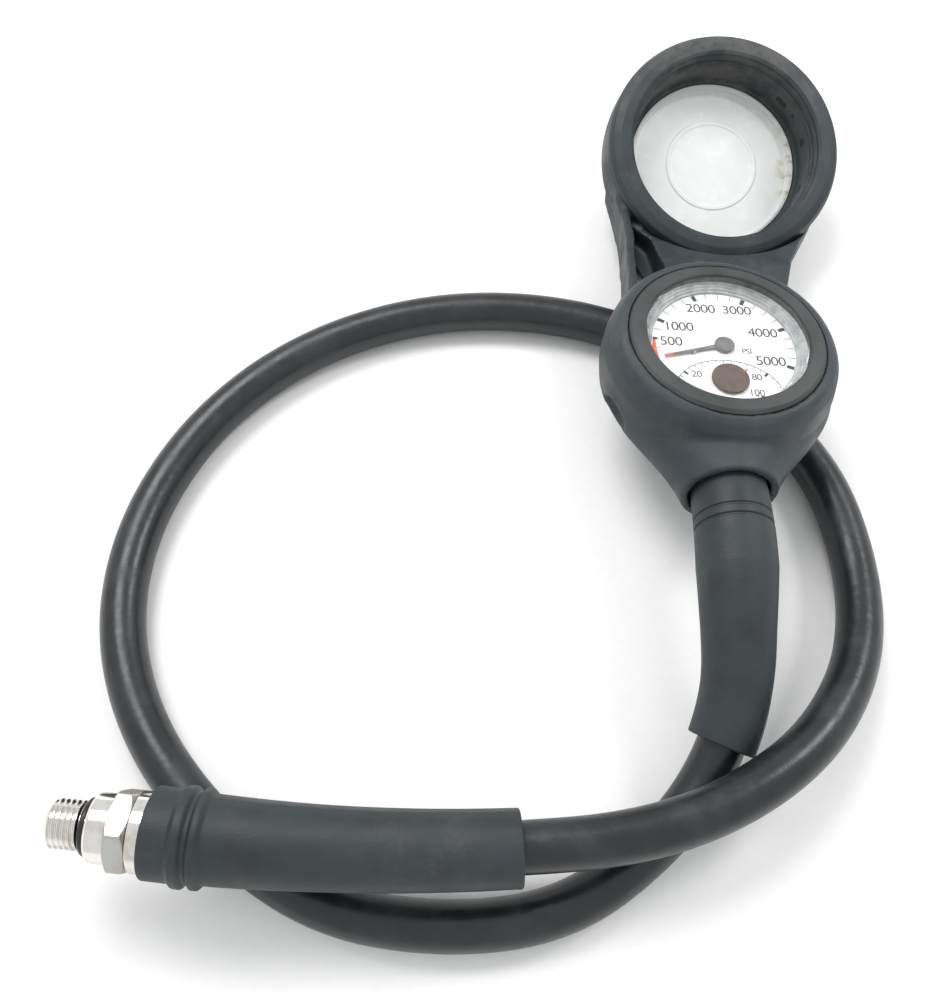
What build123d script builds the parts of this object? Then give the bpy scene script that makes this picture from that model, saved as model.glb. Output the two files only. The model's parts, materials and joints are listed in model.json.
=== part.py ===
from build123d import *
from math import cos, pi, radians, sin, sqrt, tan
import os

# Dive pressure-gauge console on its high-pressure hose, laid on a table. Millimetres, +Z up.
# Origin: bottom centre of the console's own box. +Y runs from the hose neck to the empty module pocket.

# ---- driving dimensions -------------------------------------------------------------------------
gauge_place = Location((-7.9, -39.9, 38.5), (-6.34, 4.02, 0))    # dial centre, +Z out of the dial
pocket_place = Location((3.8, 42.3, 33.0), (23.0, 3.8, -8.0))     # centre of the pocket's front rim
neck_z = -14.4                # neck axis below the dial face
fit_gap = 0.05                # gap of pieces that are pressed or clipped together
run_gap = 0.03                # radial clearance of a shaft or spool in its bore

# pressure gauge
case_r, case_wall = 26.0, 2.0
case_bottom, case_top, back_t = -20.8, 1.2, 1.7
dial_r, dial_t = 20.9, 0.6
lens_r, lens_face_r = 22.8, 21.9
lens_top = 5.0
ring_r, ring_top = 26.8, 5.3
arbor_r = 0.6
stop_r, stop_at = 0.3, (-8.66, -3.32)
thermometer_y, thermometer_r = -11.9, 5.0
coil_inner_r, coil_turns, coil_pitch, strip_t, strip_h = 3.4, 3.75, 3.0, 0.6, 2.6

# rubber boot
boot_r, boot_top, boot_bottom = 32.4, 4.3, -24.2
mouth_y, mouth_r = -39.0, 12.6

# empty module pocket, in its own frame: 0 is the front rim
pocket_r, bezel_depth = 36.9, 4.2
bezel_bore_r, pocket_bore_r = 29.2, 28.6
window_r, window_seat, window_t = 27.3, -18.4, 2.9
pocket_back, back_opening_r = -21.0, 25.6
saddle_low, web_top, arm_top, arm_t = 12.8, 28.5, 31.0, 2.6

# swivel, hose and end fitting
spool_r, spool_len, spool_seal_z = 1.9, 8.4, 2.6
stem_r, stem_inner_r, stem_end_y = 5.2, 4.5, -29.5
nut_flats = 13.0
hose_d = 12.0
ferrule_r, short_ferrule, long_ferrule = 7.1, 8.5, 16.0
sleeve_r, sleeve_bore = 10.3, 7.5
sleeve_start_y, sleeve_len = -31.0, 73.0     # gauge-end sleeve: where it starts, and its length
thread_r, thread_start, thread_len = 5.56, 21.3, 7.7
hex_flats, collar_r, collar_bore = 17.0, 9.0, 9.3
fitting_bore_r = 2.4

# the hose's route, chosen by hand: gauge end first, fitting end last
hose_start_y = -34.0
hose_route = [
    (-8.91, -75.28, 27.98), (-8.91, -91.78, 29.81), (-9.9, -110.6, 27.1), (-10.2, -130.3, 18.2),
    (-17.7, -148.9, 10.5), (-31.0, -164.3, 6.0), (-53.7, -180.0, 6.0), (-82.7, -183.6, 6.0),
    (-113.7, -178.6, 6.0), (-141.2, -159.6, 6.0), (-162.2, -134.1, 6.0), (-172.2, -104.1, 6.0),
    (-169.2, -72.1, 6.0), (-153.7, -41.1, 6.0), (-127.7, -17.1, 6.0), (-94.7, -3.6, 6.0),
    (-59.7, -1.6, 6.0), (-25.7, -10.6, 6.0), (4.3, -31.6, 6.0), (24.8, -58.6, 6.0),
    (29.8, -89.1, 7.0), (24.8, -118.1, 12.0), (9.3, -141.1, 18.0), (-12.7, -156.6, 21.8),
    (-37.7, -165.3, 22.4), (-69.7, -167.9, 23.2), (-101.7, -168.2, 24.3), (-121.7, -167.2, 24.9),
    (-141.7, -165.3, 25.6),
]
# the fitting end lies on a very flat arc, about a centre this far beside it
bow_r = 480.0
bow_centre = (-89.7, bow_r - 168.1, 23.9)
bow_axis = (0.0325, 0.0, 1.0)
sleeve_from, sleeve_to = -148.4, -64.7        # X of the fitting-end sleeve's two ends


# ---- helpers ------------------------------------------------------------------------------------
def rod(r, z0, z1, x=0.0, y=0.0):
    return Pos(x, y, (z0 + z1) / 2) * Cylinder(r, z1 - z0)


def tube(r_out, r_in, z0, z1, x=0.0, y=0.0):
    return rod(r_out, z0, z1, x, y) - rod(r_in, z0 - 1, z1 + 1, x, y)


def turned(*points):
    """A solid of revolution about Z from its half section, given as (radius, height) points."""
    outline = Polyline(*[(r, 0, z) for r, z in points], close=True)
    return revolve(make_face(outline), Axis.Z)


def along_neck(shape, y):
    """Stands a Z-axis shape on the neck axis, its own +Z towards the dial, its zero at y."""
    return Pos(0, y, neck_z) * Rot(-90, 0, 0) * shape


def hexagon(flats, z0, z1):
    return extrude(Plane.XY.offset(z0) * RegularPolygon(flats / sqrt(3), 6), z1 - z0)


def corner_radii(points):
    """The largest tangent arcs that a route's corners allow."""
    radii = []
    for a, b, c in zip(points, points[1:], points[2:]):
        run_in = Vector(*b) - Vector(*a)
        run_out = Vector(*c) - Vector(*b)
        turn = radians(run_in.get_angle(run_out))
        radii.append(0.45 * min(run_in.length, run_out.length) / tan(turn / 2))
    return radii


def hose_path(points, radii):
    return FilletPolyline(*points, radius=radii)


def round_sweep(path, r):
    start = Plane(origin=path @ 0, z_dir=path % 0)
    return sweep(start * Circle(r), path=path)


# ---- pressure gauge -----------------------------------------------------------------------------
def gauge_case():
    shell = tube(case_r, case_r - case_wall, case_bottom, case_top)
    ledge = tube(case_r - case_wall + 0.01, 21.6, -1.4, -0.7)
    stem_hole = along_neck(rod(stem_inner_r + fit_gap, -27.0, -20.0), 0)
    return shell + ledge - stem_hole


def gauge_back():
    plate = rod(case_r - case_wall - fit_gap, case_bottom, case_bottom + back_t)
    return plate - rod(3.0 + fit_gap, case_bottom - 1, case_bottom + 3, 9, 6)


def blowout_plug():
    """Plug in the back cover that lets a burst coil's pressure out."""
    top = case_bottom + back_t
    return rod(3.0, case_bottom + 0.2, top + 0.1, 9, 6) + rod(4.2, top + 0.05, top + 0.8, 9, 6)


def gauge_lens():
    face = rod(lens_r, 2.6, lens_top - 0.6) + rod(lens_face_r, 2.6, lens_top)
    return face + tube(lens_r, dial_r + 0.1, -0.65, 2.7)


def lens_seal():
    return Pos(0, 0, 0.2) * Torus(23.4, 0.5)


def lens_ring():
    return turned(
        (lens_face_r + 0.15, lens_top - 0.5), (lens_face_r + 0.15, ring_top - 0.4),
        (lens_face_r + 0.6, ring_top), (ring_r - 1.2, ring_top - 0.6), (ring_r, ring_top - 1.5),
        (ring_r, case_top + 0.1), (lens_r + 0.15, case_top + 0.1), (lens_r + 0.15, lens_top - 0.5))


def dial_plate():
    plate = rod(dial_r, -dial_t, 0)
    holes = rod(arbor_r + 0.5, -2, 1) + rod(1.1, -2, 1, 0, thermometer_y)
    return plate - holes - rod(stop_r, -2, 1, *stop_at)


def pointer_stop():
    return rod(stop_r, -dial_t, 1.1, *stop_at)


def movement_plate():
    plate = rod(case_r - case_wall - fit_gap, -4.4, -3.2) - rod(arbor_r + run_gap, -6, -2)
    pillars = rod(1.6, -3.3, -0.65, 13, 3) + rod(1.6, -3.3, -0.65, -13, 3)
    well = rod(6.2, -6, -2, 0, thermometer_y)
    return plate + pillars - well


def lower_bridge():
    bar = Pos(0, 0, -17.0) * Box(40, 7, 1.4)
    posts = rod(1.8, -16.4, -4.45, 17.5, 0) + rod(1.8, -16.4, -4.45, -17.5, 0)
    return bar + posts - rod(arbor_r + run_gap, -18, -15)


def pointer_arbor():
    return rod(arbor_r, -17.6, 0.5) + rod(1.6, -13.0, -8.5)


def pointer():
    """Needle at rest on zero, 106 degrees left of the dial's top."""
    hub = rod(2.7, 0.5, 1.3)
    needle = Pos(0, 0, 0.55) * extrude(make_face(Polyline(
        (-0.6, 0), (0.6, 0), (0.32, 17.6), (-0.32, 17.6), close=True)), 0.4)
    return Rot(0, 0, 106) * (hub + needle)


def spiral(radius_shift):
    steps = int(coil_turns * 12)
    points = []
    for i in range(steps + 1):
        turn = 2 * pi * i / 12
        r = coil_inner_r + coil_pitch * turn / (2 * pi) + radius_shift
        points.append((r * cos(turn), r * sin(turn)))
    return points


def bourdon_coil():
    """Flat pressure tube wound in a spiral; its inner end turns the arbor."""
    outer = Spline(*spiral(strip_t / 2))
    inner = Spline(*spiral(-strip_t / 2))
    ends = [Line(outer @ 0, inner @ 0), Line(outer @ 1, inner @ 1)]
    strip = make_face(Curve() + [outer, inner] + ends)
    return Pos(0, 0, -12.0) * extrude(strip, strip_h)


def coil_block():
    """Block that holds the coil's outer end and feeds it from the stem."""
    near = -(coil_inner_r + coil_pitch * coil_turns + strip_t / 2 + 0.02)
    far = -19.1
    return Pos(0, (near + far) / 2, -12.7) * Box(4.4, near - far, 6.6)


def gauge_stem():
    """Threaded inlet through the case wall, bored for the swivel spool."""
    body = rod(stem_r, stem_end_y, -26.05) + rod(stem_inner_r, -26.1, -21.1) + rod(1.4, -21.2, -19.15)
    spool_bore = rod(spool_r + run_gap, stem_end_y - 1, stem_end_y + spool_len / 2 + 0.2)
    return along_neck(body - spool_bore - rod(0.6, -30, -18), 0)


def thermometer_cup():
    return rod(6.0, -4.4, -3.8, 0, thermometer_y) + tube(6.0, 5.5, -4.0, -0.7, 0, thermometer_y)


def thermometer_coil():
    rings = [tube(r, r - 0.35, -3.7, -1.2, 0, thermometer_y) for r in (2.4, 3.4, 4.4)]
    links = [Pos(x, thermometer_y, -2.45) * Box(0.9, 0.5, 2.4) for x in (2.7, -3.7)]
    coil = rings[0]
    for piece in rings[1:] + links:
        coil = coil + piece
    return coil


def thermometer_disc():
    cap = rod(thermometer_r, 0.35, 1.15, 0, thermometer_y)
    pin = rod(0.6, -3.5, 0.4, 0, thermometer_y)
    tick = Pos(0, thermometer_y, 0.75) * Rot(0, 0, -55) * Pos(0, 5.4, 0) * Box(0.5, 1.6, 0.5)
    return cap + pin + tick


# ---- rubber boot --------------------------------------------------------------------------------
def bell_section(y, half_width, top, bottom, power, x=0.0):
    """One rounded cross-section of the bell between the gauge and the neck."""
    middle, half = (top + bottom) / 2, (top - bottom) / 2
    points = []
    for i in range(24):
        a = 2 * pi * i / 24
        across = abs(cos(a)) ** (2 / power) * (1 if cos(a) > 0 else -1)
        up = abs(sin(a)) ** (2 / power) * (1 if sin(a) > 0 else -1)
        points.append((half_width * across, middle + half * up))
    return Pos(x, y, 0) * Rot(90, 0, 0) * make_face(Spline(*points, periodic=True))


def boot_drum(gap=0.0):
    r, top, bottom = boot_r + gap, boot_top + gap, boot_bottom - gap
    return turned(
        (0, bottom), (r - 9.5, bottom), (r - 4.2, bottom + 3.2), (r - 1.0, bottom + 8.5),
        (r, -10.0), (r - 0.2, -4.0), (r - 1.2, 0.6), (r - 2.8, 3.2), (ring_r + 1.0 + gap, top), (0, top))


def boot_outside():
    bell = loft([
        bell_section(-2.0, 31.6, 1.4, boot_bottom + 0.4, 2.9),
        bell_section(-14.0, 29.4, 1.0, boot_bottom + 0.2, 2.7, 0.6),
        bell_section(-24.0, 23.2, 0.0, boot_bottom, 2.4, 0.6),
        bell_section(-33.0, 16.0, -1.2, boot_bottom - 1.2, 2.1),
        bell_section(mouth_y, mouth_r, neck_z + mouth_r, neck_z - mouth_r, 2.0)])
    return boot_drum() + bell


def gauge_boot():
    cavity = rod(case_r + fit_gap, case_bottom - fit_gap, 20)
    seat = rod(ring_r + fit_gap, case_top + fit_gap, 20)
    neck_bore = along_neck(rod(8.6, -45, -20), 0)
    mouth = along_neck(rod(sleeve_r + 0.25, -45, sleeve_start_y + 0.5), 0)
    return boot_outside() - cavity - seat - neck_bore - mouth


# ---- empty module pocket ------------------------------------------------------------------------
def pocket_bezel():
    return turned(
        (bezel_bore_r, -bezel_depth), (bezel_bore_r, -0.8), (bezel_bore_r + 1.0, 0),
        (33.4, -0.3), (35.9, -1.2), (pocket_r, -3.0), (pocket_r, -bezel_depth))


def pocket_window():
    floor_r = window_r - 1.8
    disc = rod(window_r, window_seat, window_seat + 1.6)
    rim = tube(window_r, floor_r, window_seat + 1.5, window_seat + window_t)
    boss = tube(14.6, 13.8, window_seat + 1.5, window_seat + 1.9)
    return disc + rim + boss


def pocket_shell():
    top = -bezel_depth - fit_gap
    return turned(
        (pocket_bore_r, top), (pocket_r - 0.2, top), (pocket_r + 0.3, -9.5), (pocket_r + 0.1, -15.0),
        (pocket_r - 0.9, -19.4), (pocket_r - 2.4, pocket_back), (back_opening_r, pocket_back),
        (back_opening_r, window_seat - fit_gap), (window_r + fit_gap, window_seat - fit_gap),
        (window_r + fit_gap, window_seat + window_t + 0.1), (pocket_bore_r, window_seat + window_t + 0.1))


def plan_block(points, low, high):
    """An upright block on a plan outline; its ends are hidden in the shell and cut by the boot."""
    outline = make_face(Polyline(*points, close=True))
    return Pos(0, 0, low) * extrude(outline, high - low)


def side_wedge(top, low_end):
    """Side view of the saddle: it drops from the gauge boot to the pocket's tilted rim."""
    outline = Polyline(
        (-25.0, saddle_low), (2.0, saddle_low), (9.0, 8.5), (24.0, 8.5), (46.0, 15.0), (46.0, low_end),
        (24.0, low_end), (6.0, top - 5.5), (-9.0, top), (-25.0, top), close=True)
    return Pos(-60, 0, 0) * extrude(Plane.YZ * make_face(outline), 120)


def module_pocket():
    """Rear shell of the pocket, with the saddle and the two side arms that hold the gauge boot."""
    left = [(-32.9, 38.0), (-31.0, 30.5), (-29.2, 21.5), (-28.9, 12.0), (-29.8, 1.0), (-31.3, -20.0)]
    right = [(38.6, 37.0), (32.4, 25.0), (25.6, 12.7), (20.9, 3.0), (17.6, -9.0), (15.5, -20.0)]
    body = plan_block(left + right[::-1], 0, 50)
    inner_left = [(x + arm_t, y) for x, y in left[2:]]
    left_bay = inner_left + [(-19.5, -20.0), (-18.3, 0.0), (-20.8, 14.0), (-24.0, 18.0)]
    right_bay = [(9.5, -20.0), (10.6, -2.0), (16.5, 5.1), (22.4, 15.0), (26.0, 15.0), (40.0, 2.0),
                 (30.0, -20.0)]
    hole = [inner_left[1], (-23.0, 4.5), (-21.0, -20.0), inner_left[-1], inner_left[2]]
    saddle = body & side_wedge(web_top, 19.0)
    arm = plan_block(left[1:] + inner_left[::-1] + [(-28.0, 30.0)], 0, 50) & side_wedge(arm_top, 23.0)
    saddle = saddle - plan_block(left_bay, 14.5, 50) - plan_block(right_bay, 25.0, 50)
    saddle = saddle - plan_block(hole, 0, 50)
    arms = saddle + arm
    arms = arms - pocket_place * rod(pocket_r + 0.4, -bezel_depth - fit_gap, 40)
    arms = arms - pocket_place * rod(pocket_bore_r + 2.5, -60, 40)
    arms = arms - gauge_place * boot_drum(fit_gap)
    return pocket_place * pocket_shell() + arms


# ---- swivel and gauge end of the hose -----------------------------------------------------------
def swivel_spool():
    """Floating spool: one end in the gauge stem, the other in the hose end."""
    middle = stem_end_y - 0.15
    core = rod(spool_r, -spool_len / 2, spool_len / 2) - rod(0.6, -spool_len, spool_len)
    for z in (-spool_seal_z, spool_seal_z):
        core = core - tube(spool_r + 1, 1.35, z - 0.5, z + 0.5)
    return along_neck(core, middle)


def spool_seals():
    rings = [Pos(0, 0, z) * Torus(1.62, 0.25) for z in (-spool_seal_z, spool_seal_z)]
    return along_neck(rings[0] + rings[1], stem_end_y - 0.15)


def hose_end_barb():
    """Collared tube in the hose's gauge end, free to turn in the coupling nut."""
    collar = rod(4.7, stem_end_y - 1.6, stem_end_y - 0.3)
    body = rod(3.5, hose_start_y, stem_end_y - 1.5)
    return along_neck(collar + body - rod(spool_r + run_gap, hose_start_y - 1, stem_end_y + 1), 0)


def coupling_nut():
    top, bottom = -26.6, -33.3
    body = hexagon(nut_flats, bottom, top)
    thread = rod(stem_r + fit_gap, stem_end_y - 1.7, top + 1)
    return along_neck(body - thread - rod(3.6, bottom - 1, top), 0)


def gauge_end_ferrule():
    crimp = tube(ferrule_r, hose_d / 2 + 0.15, hose_start_y - short_ferrule, hose_start_y)
    cap = tube(ferrule_r, 3.7, hose_start_y, hose_start_y + 0.5)
    return along_neck(crimp + cap, 0)


def gauge_end_sleeve():
    """Bend protector pushed into the boot's mouth; it follows the hose's first bends."""
    first = gauge_place * Location((0, sleeve_start_y, neck_z))
    points = [first.position, *hose_route[1:6]]
    whole = hose_path(points, corner_radii(hose_route)[:4])
    path = whole.trim(0, sleeve_len / whole.length)
    sections = []
    for share, r in [(0, 10.3), (0.2, 10.3), (0.4, 10.4), (0.6, 9.6), (0.8, 9.0), (1.0, 8.7)]:
        sections.append(Plane(origin=path @ share, z_dir=path % share) * Circle(r))
    outside = loft(sections)
    bore = round_sweep(path, hose_d / 2 + 0.2)
    socket = gauge_place * along_neck(rod(7.8, hose_start_y - short_ferrule - 0.5, 0), 0)
    return outside - bore - socket


# ---- hose ---------------------------------------------------------------------------------------
def hose():
    radii = corner_radii(hose_route)
    path = hose_path(hose_route, radii)
    solid = round_sweep(path, hose_d / 2)
    section = pi * hose_d ** 2 / 4
    print("hose length %.1f mm" % path.length)
    print("volume over section times length %.4f" % (solid.volume / (section * path.length)))
    print("corner radii", [round(r) for r in radii])
    return solid


# ---- fitting end --------------------------------------------------------------------------------
def bow_point(x):
    """A point of the flat arc on which the fitting-end sleeve sits, and the hose inside it."""
    cx, cy, cz = bow_centre
    y = cy - sqrt(bow_r ** 2 - (x - cx) ** 2)
    return Vector(x, y, cz - bow_axis[0] * (x - cx))


def bow_plane(x):
    """Plane across the arc at x, facing the fitting."""
    cx, cy, _ = bow_centre
    here = bow_point(x)
    slope = (x - cx) / sqrt(bow_r ** 2 - (x - cx) ** 2)
    return Plane(origin=here, z_dir=Vector(-1, -slope, bow_axis[0]))


def fitting_frame():
    """Frame of the fitting: zero at the hose's end, +Z out along the thread."""
    end, before = Vector(*hose_route[-1]), Vector(*hose_route[-2])
    return Plane(origin=end, z_dir=end - before)


def fitting_end_sleeve():
    """Bend protector that slides back along the bow to bare the crimped ferrule."""
    stations = [(0.0, 10.5), (0.16, 10.2), (0.4, 9.5), (0.7, 9.1), (1.0, 8.8)]
    sections = []
    for share, r in stations:
        x = sleeve_from + share * (sleeve_to - sleeve_from)
        sections.append(bow_plane(x) * Circle(r))
    bore_stations = [sleeve_from - 1, (sleeve_from + sleeve_to) / 2, sleeve_to + 1]
    path = ThreePointArc(*[bow_point(x) for x in bore_stations])
    sleeve = loft(sections) - round_sweep(path, sleeve_bore)
    sleeve = sleeve - fitting_frame() * rod(collar_bore, 4.7, 12.0)
    for x in (-140.3, -136.9):
        sleeve = sleeve + bow_plane(x) * tube(11.3, 9.8, -1.0, 1.0)
    return sleeve


def fitting_end_ferrule():
    return fitting_frame() * tube(ferrule_r, hose_d / 2 + 0.15, -long_ferrule, 0)


def pressure_fitting():
    """Plated end fitting: collar, spanner hex, seal face and male thread."""
    root, collar, hexagonal, face, groove = 0.0, 5.0, 9.9, 14.7, 19.6
    body = rod(7.0, root, collar) + rod(collar_r, collar, hexagonal) + hexagon(hex_flats, hexagonal, face)
    body = body + rod(7.8, face, groove) + rod(4.7, groove, thread_start + 1)
    body = body + rod(thread_r, thread_start, thread_start + thread_len)
    bore = rod(fitting_bore_r, 3.0, thread_start + thread_len + 1) + rod(1.2, -1, 4)
    return fitting_frame() * (body - bore)


def fitting_seal():
    return fitting_frame() * (Pos(0, 0, thread_start - 0.85) * Torus(5.65, 0.85))


def flow_orifice():
    """Press-fit plug with the pinhole that limits flow if the hose bursts."""
    end = thread_start + thread_len
    return fitting_frame() * tube(fitting_bore_r - 0.02, 0.35, end - 5.0, end - 2.0)


# ---- write --------------------------------------------------------------------------------------
def on_gauge(shape):
    return gauge_place * shape


def on_pocket(shape):
    return pocket_place * shape


parts = {
    "gauge_case": on_gauge(gauge_case()),
    "gauge_back": on_gauge(gauge_back()),
    "blowout_plug": on_gauge(blowout_plug()),
    "gauge_lens": on_gauge(gauge_lens()),
    "lens_seal": on_gauge(lens_seal()),
    "lens_ring": on_gauge(lens_ring()),
    "dial_plate": on_gauge(dial_plate()),
    "pointer_stop": on_gauge(pointer_stop()),
    "movement_plate": on_gauge(movement_plate()),
    "lower_bridge": on_gauge(lower_bridge()),
    "pointer_arbor": on_gauge(pointer_arbor()),
    "pointer": on_gauge(pointer()),
    "bourdon_coil": on_gauge(bourdon_coil()),
    "coil_block": on_gauge(coil_block()),
    "gauge_stem": on_gauge(gauge_stem()),
    "thermometer_cup": on_gauge(thermometer_cup()),
    "thermometer_coil": on_gauge(thermometer_coil()),
    "thermometer_disc": on_gauge(thermometer_disc()),
    "gauge_boot": on_gauge(gauge_boot()),
    "pocket_bezel": on_pocket(pocket_bezel()),
    "pocket_window": on_pocket(pocket_window()),
    "module_pocket": module_pocket(),
    "swivel_spool": on_gauge(swivel_spool()),
    "spool_seals": on_gauge(spool_seals()),
    "hose_end_barb": on_gauge(hose_end_barb()),
    "coupling_nut": on_gauge(coupling_nut()),
    "gauge_end_ferrule": on_gauge(gauge_end_ferrule()),
    "gauge_end_sleeve": gauge_end_sleeve(),
    "hose": hose(),
    "fitting_end_sleeve": fitting_end_sleeve(),
    "fitting_end_ferrule": fitting_end_ferrule(),
    "pressure_fitting": pressure_fitting(),
    "fitting_seal": fitting_seal(),
    "flow_orifice": flow_orifice(),
}
os.makedirs("parts", exist_ok=True)
for name, shape in parts.items():
    export_step(shape, "parts/%s.step" % name)
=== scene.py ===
"""Dive console on its high-pressure hose: a pressure gauge and an empty module pocket in moulded rubber.

Every visible piece is built round the fixed frame. Sizes inside the pieces are in millimetres.
"""

import json
import math
from contextlib import contextmanager

import bmesh
import bpy
from bpy.props import FloatProperty, FloatVectorProperty, PointerProperty
from mathutils import Matrix, Vector


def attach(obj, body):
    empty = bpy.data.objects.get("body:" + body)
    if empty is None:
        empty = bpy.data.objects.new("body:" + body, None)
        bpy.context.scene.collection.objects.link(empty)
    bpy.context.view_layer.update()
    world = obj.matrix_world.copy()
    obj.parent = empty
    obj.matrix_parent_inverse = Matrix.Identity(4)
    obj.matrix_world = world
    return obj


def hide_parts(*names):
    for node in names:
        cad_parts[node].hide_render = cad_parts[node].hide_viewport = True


bl_info = {
    "name": "Dive gauge console",
    "version": (1, 0, 0),
    "blender": (4, 5, 0),
    "location": "3D View > Sidebar > Console",
    "description": "Builds a dive pressure-gauge console with its hose, sleeves and end fitting",
    "category": "Add Mesh",
}

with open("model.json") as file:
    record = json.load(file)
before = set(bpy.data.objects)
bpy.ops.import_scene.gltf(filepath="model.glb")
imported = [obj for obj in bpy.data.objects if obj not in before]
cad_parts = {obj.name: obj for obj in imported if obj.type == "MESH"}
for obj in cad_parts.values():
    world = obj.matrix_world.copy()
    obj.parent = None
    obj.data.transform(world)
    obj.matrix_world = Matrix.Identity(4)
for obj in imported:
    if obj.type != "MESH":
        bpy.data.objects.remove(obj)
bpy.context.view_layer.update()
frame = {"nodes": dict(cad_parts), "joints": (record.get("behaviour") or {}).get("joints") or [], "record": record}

MM = 0.001
TURN = 2 * math.pi
ROOT = "console_and_hose"
JOINTS = {joint["name"]: joint for joint in frame["joints"]}
MOUNTS = {mount["name"]: mount for mount in frame["record"]["mounts"]}

BORE_MIDDLE = 9.825     # from the pocket's rim to the middle of its bore
THREAD_MIDDLE = 25.15   # from the hose's end to the middle of the thread
NECK_LEVEL = -14.4      # the neck's axis below the dial
SCALE_RADIUS = 19.5     # outer ends of the pressure scale's marks
DIAL_ZERO = math.radians(-106)
HEXAGON_TURN = 0.29     # the flats' turn round the fitting, in radians
SHARP = 38.0            # edges sharper than this many degrees stay crisp


# ---- local frames ---------------------------------------------------------------------------
def placed(origin, up, ahead):
    """Matrix from local millimetres to the row frame: +Z along up, +Y as near as can be to ahead."""
    z = Vector(up).normalized()
    y = (Vector(ahead) - z * Vector(ahead).dot(z)).normalized()
    turn = Matrix((y.cross(z), y, z)).transposed().to_4x4()
    return Matrix.Translation(origin) @ turn @ Matrix.Scale(MM, 4)


def gauge_place():
    """Zero at the dial's centre, +Z out of the dial, -Y down the neck."""
    up = -Vector(JOINTS["pointer_turn"]["axis"])
    return placed(JOINTS["pointer_turn"]["pos_m"], up, -Vector(JOINTS["spool_spin"]["axis"]))


def pocket_place():
    """Zero at the centre of the pocket's front rim, +Z out of it."""
    mount = MOUNTS["module_bore"]
    up = Vector(mount["axis"])
    return placed(Vector(mount["pos_m"]) + up * BORE_MIDDLE * MM, up, (0.1, 1, 0))


def fitting_place():
    """Zero at the hose's end, +Z out along the thread."""
    mount = MOUNTS["hose_thread"]
    out = Vector(mount["axis"])
    return placed(Vector(mount["pos_m"]) - out * THREAD_MIDDLE * MM, out, (0, 0, 1))


# ---- properties -----------------------------------------------------------------------------
def colour(name, description, value):
    return FloatVectorProperty(
        name=name, description=description, subtype="COLOR", size=3, min=0, max=1, default=value)


def length(name, description, value):
    return FloatProperty(name=name, description=description, unit="LENGTH", min=0, default=value)


class GaugeProperties(bpy.types.PropertyGroup):
    """Colours of the gauge's face."""

    dial: colour("Dial", "Printed dial plate", (0.91, 0.915, 0.89))
    print_ink: colour("Print", "Scale marks and numerals", (0.025, 0.027, 0.028))
    warning: colour("Low range", "Low end of the pressure scale and the needle's tip", (0.75, 0.12, 0.07))
    needle: colour("Needle", "Needle and its hub cap", (0.16, 0.16, 0.155))
    disc: colour("Thermometer disc", "Disc that turns with the temperature", (0.10, 0.062, 0.05))
    # the lens wall's grey is painted reflection: the real wall is clear plastic, drawn opaque in this colour
    lens_wall: colour("Lens wall", "Stepped side wall of the lens", (0.42, 0.44, 0.44))


class RubberProperties(bpy.types.PropertyGroup):
    """Colours and surface of the moulded rubber."""

    boot: colour("Boot", "Gauge boot", (0.028, 0.037, 0.042))
    ring: colour("Lens ring", "Ring round the lens", (0.040, 0.044, 0.043))
    pocket: colour("Pocket", "Module pocket and its arms", (0.022, 0.029, 0.033))
    sleeve: colour("Sleeve", "Bend protectors", (0.021, 0.027, 0.030))
    dust: colour("Dust", "Dried dust and worn skin", (0.13, 0.125, 0.11))
    voxel: length("Detail", "Smallest detail of the moulded shapes", 0.00055)


class HoseProperties(bpy.types.PropertyGroup):
    """The high-pressure hose."""

    diameter: length("Diameter", "Outside diameter of the hose", 0.012)
    cut_length: length("Length", "Length of the hose along its middle", 0.8048)
    skin: colour("Skin", "Extruded outer rubber", (0.010, 0.011, 0.013))


class FittingProperties(bpy.types.PropertyGroup):
    """The plated end fitting."""

    plate: colour("Plating", "Bright plating of the turned faces", (0.80, 0.78, 0.75))
    flats: FloatProperty(name="Flats", description="Hexagon across flats, mm", min=5, default=17.0)
    pitch: FloatProperty(name="Pitch", description="Thread pitch, mm", min=0.2, default=1.27)
    thread_radius: FloatProperty(name="Thread radius", description="Crest radius, mm", default=5.56)
    thread_depth: FloatProperty(name="Thread depth", description="Crest to root, mm", default=0.72)


class StageProperties(bpy.types.PropertyGroup):
    """Floor, lights and camera."""

    floor: colour("Floor", "Pale table", (0.93, 0.93, 0.91))
    sky: FloatProperty(name="Room light", description="Even light of the room", min=0, default=0.9)
    key: FloatProperty(name="Key light", description="Power of the main light", min=0, default=5.0)
    focal: FloatProperty(name="Focal length", description="Camera lens, mm", min=1, default=36.0)
    camera_height: length("Camera height", "Camera above the table", 0.260)


# ---- mesh helpers ---------------------------------------------------------------------------
def link(name, mesh):
    obj = bpy.data.objects.new(name, mesh)
    bpy.context.scene.collection.objects.link(obj)
    return obj


@contextmanager
def editing(mesh):
    """A mesh opened for editing, and written back when the block ends."""
    shell = bmesh.new()
    shell.from_mesh(mesh)
    yield shell
    shell.to_mesh(mesh)
    shell.free()


def finish_mesh(mesh, material, sharp=SHARP):
    """Merges doubles, turns the faces outwards and gives one material, smooth but for sharp edges."""
    with editing(mesh) as shell:
        bmesh.ops.remove_doubles(shell, verts=shell.verts, dist=1e-7)
        bmesh.ops.recalc_face_normals(shell, faces=shell.faces)
    mesh.materials.clear()
    mesh.materials.append(material)
    mesh.shade_smooth()
    mesh.set_sharp_from_angle(angle=math.radians(sharp))


def local_mesh(name, vertices, faces, place, material):
    """A finished mesh from local points in millimetres."""
    mesh = bpy.data.meshes.new(name)
    mesh.from_pydata(vertices, [], faces)
    mesh.transform(place)
    finish_mesh(mesh, material)
    return mesh


def solid(name, *parts):
    """A piece from local points in millimetres."""
    return link(name, local_mesh(name, *parts))


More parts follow.
